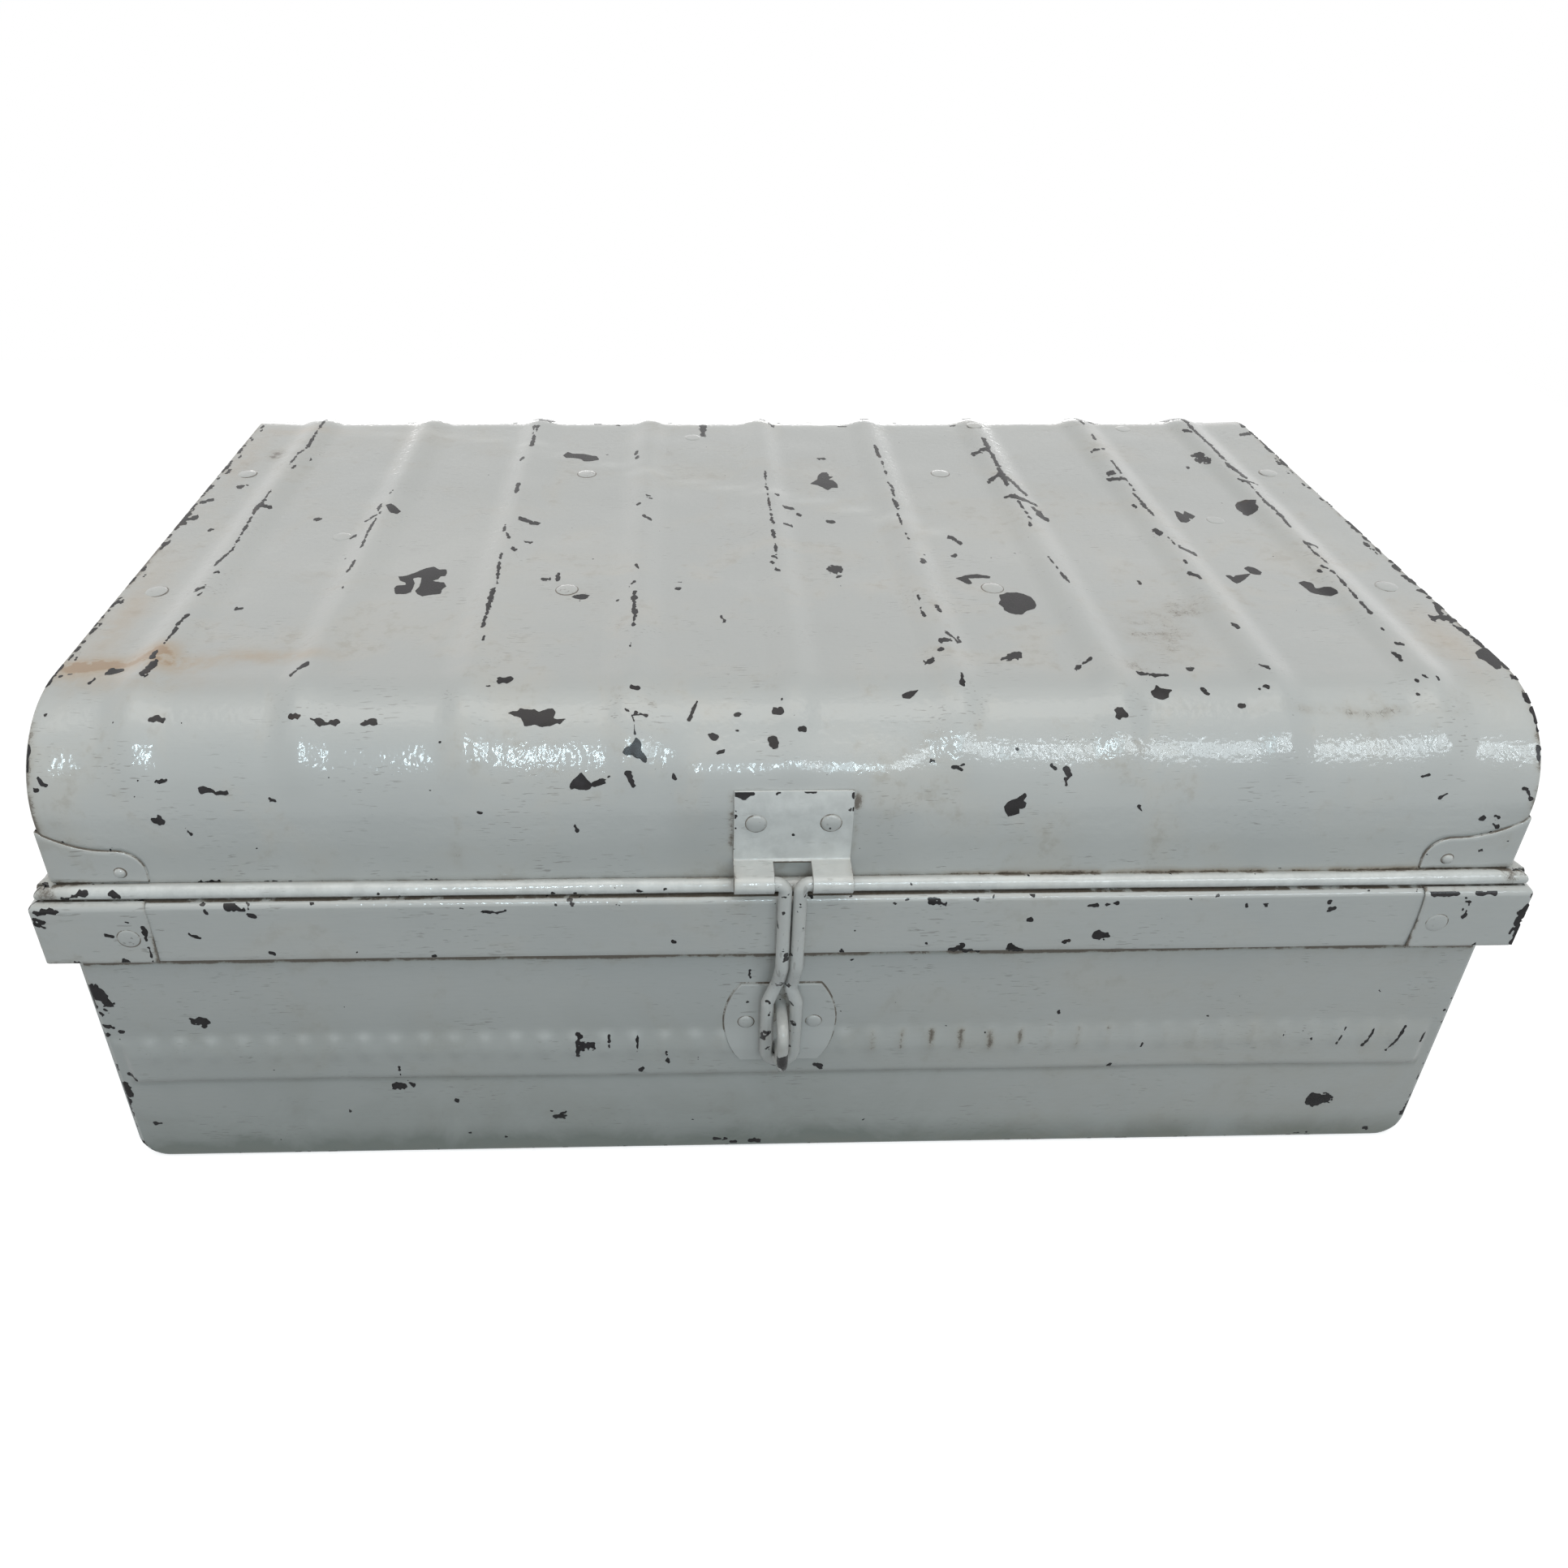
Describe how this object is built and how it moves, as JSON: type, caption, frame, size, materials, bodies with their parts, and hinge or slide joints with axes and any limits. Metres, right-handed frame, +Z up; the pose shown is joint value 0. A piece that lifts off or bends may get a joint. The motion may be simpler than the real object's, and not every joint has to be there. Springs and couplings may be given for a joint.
{
  "type": "metal trunk",
  "caption": "Painted steel storage trunk with a ribbed lid rolled at front and back, wired lid edge, folded rim band with corner caps, rod hasp and staple, rear hinges and drop handles.",
  "frame": {"origin": "on the floor, under the middle of the lid, at the underside of the body's floor sheet", "axes": "+X along the trunk's length to the right when facing its hasp, +Y from the hasp towards the hinges, +Z up"},
  "size_m": [0.7842, 0.5134, 0.3084],
  "materials": {
    "lid_paint": "worn satin grey paint with chips down to dark metal",
    "body_paint": "worn satin grey paint, dirtier low down",
    "fitting_paint": "thick satin grey paint over plate",
    "rod_paint": "satin grey paint over round rod, worn at the bends",
    "rivet_paint": "satin grey paint over rivet heads",
    "bare_steel": "dull oily steel"
  },
  "bodies": {
    "body": {"body_front_panel": "body_paint", "body_back_panel": "body_paint", "body_wrap": "body_paint", "rim_cap_front_left": "fitting_paint", "rim_cap_front_right": "fitting_paint", "rim_cap_back_left": "fitting_paint", "rim_cap_back_right": "fitting_paint", "rim_cap_rivets": "rivet_paint", "lip_front": "body_paint", "lip_back": "body_paint", "lip_left": "body_paint", "lip_right": "body_paint", "staple_plate": "fitting_paint", "staple": "rod_paint", "staple_plate_rivets": "rivet_paint", "hinge_body_leaf_left": "fitting_paint", "hinge_body_leaf_right": "fitting_paint", "hinge_body_rivets": "rivet_paint", "hinge_pin_left": "bare_steel", "hinge_pin_right": "bare_steel", "handle_plate_left_front": "fitting_paint", "handle_plate_left_back": "fitting_paint", "handle_rivets_left": "rivet_paint", "handle_plate_right_front": "fitting_paint", "handle_plate_right_back": "fitting_paint", "handle_rivets_right": "rivet_paint"},
    "lid": {"lid_wrap": "lid_paint", "lid_end_left": "lid_paint", "lid_end_right": "lid_paint", "lid_edge_wire": "bare_steel", "lid_corner_plate_front_left": "fitting_paint", "lid_corner_plate_front_right": "fitting_paint", "lid_corner_plate_back_left": "fitting_paint", "lid_corner_plate_back_right": "fitting_paint", "lid_corner_rivets": "rivet_paint", "lid_batten_front": "fitting_paint", "lid_batten_back": "fitting_paint", "lid_batten_rivets": "rivet_paint", "hasp_plate": "fitting_paint", "hasp_plate_rivets": "rivet_paint", "hinge_lid_leaf_left": "fitting_paint", "hinge_lid_leaf_right": "fitting_paint", "hinge_lid_rivets": "rivet_paint"},
    "hasp": {"hasp": "rod_paint"},
    "left_handle": {"handle_left": "rod_paint"},
    "right_handle": {"handle_right": "rod_paint"}
  },
  "joints": [
    {"name": "lid_hinge", "type": "hinge", "parent": "body", "child": "lid", "pos_m": [0, 0.24746, 0.2103], "axis": [-1, 0, 0], "range_deg": [0, 105]},
    {"name": "hasp_swing", "type": "hinge", "parent": "lid", "child": "hasp", "pos_m": [-0.0015, -0.2478, 0.2205], "axis": [-1, 0, 0], "range_deg": [0, 180]},
    {"name": "left_handle_swing", "type": "hinge", "parent": "body", "child": "left_handle", "pos_m": [-0.38648, 0, 0.126], "axis": [0, 1, 0], "range_deg": [0, 160]},
    {"name": "right_handle_swing", "type": "hinge", "parent": "body", "child": "right_handle", "pos_m": [0.38648, 0, 0.126], "axis": [0, -1, 0], "range_deg": [0, 160]}
  ]
}
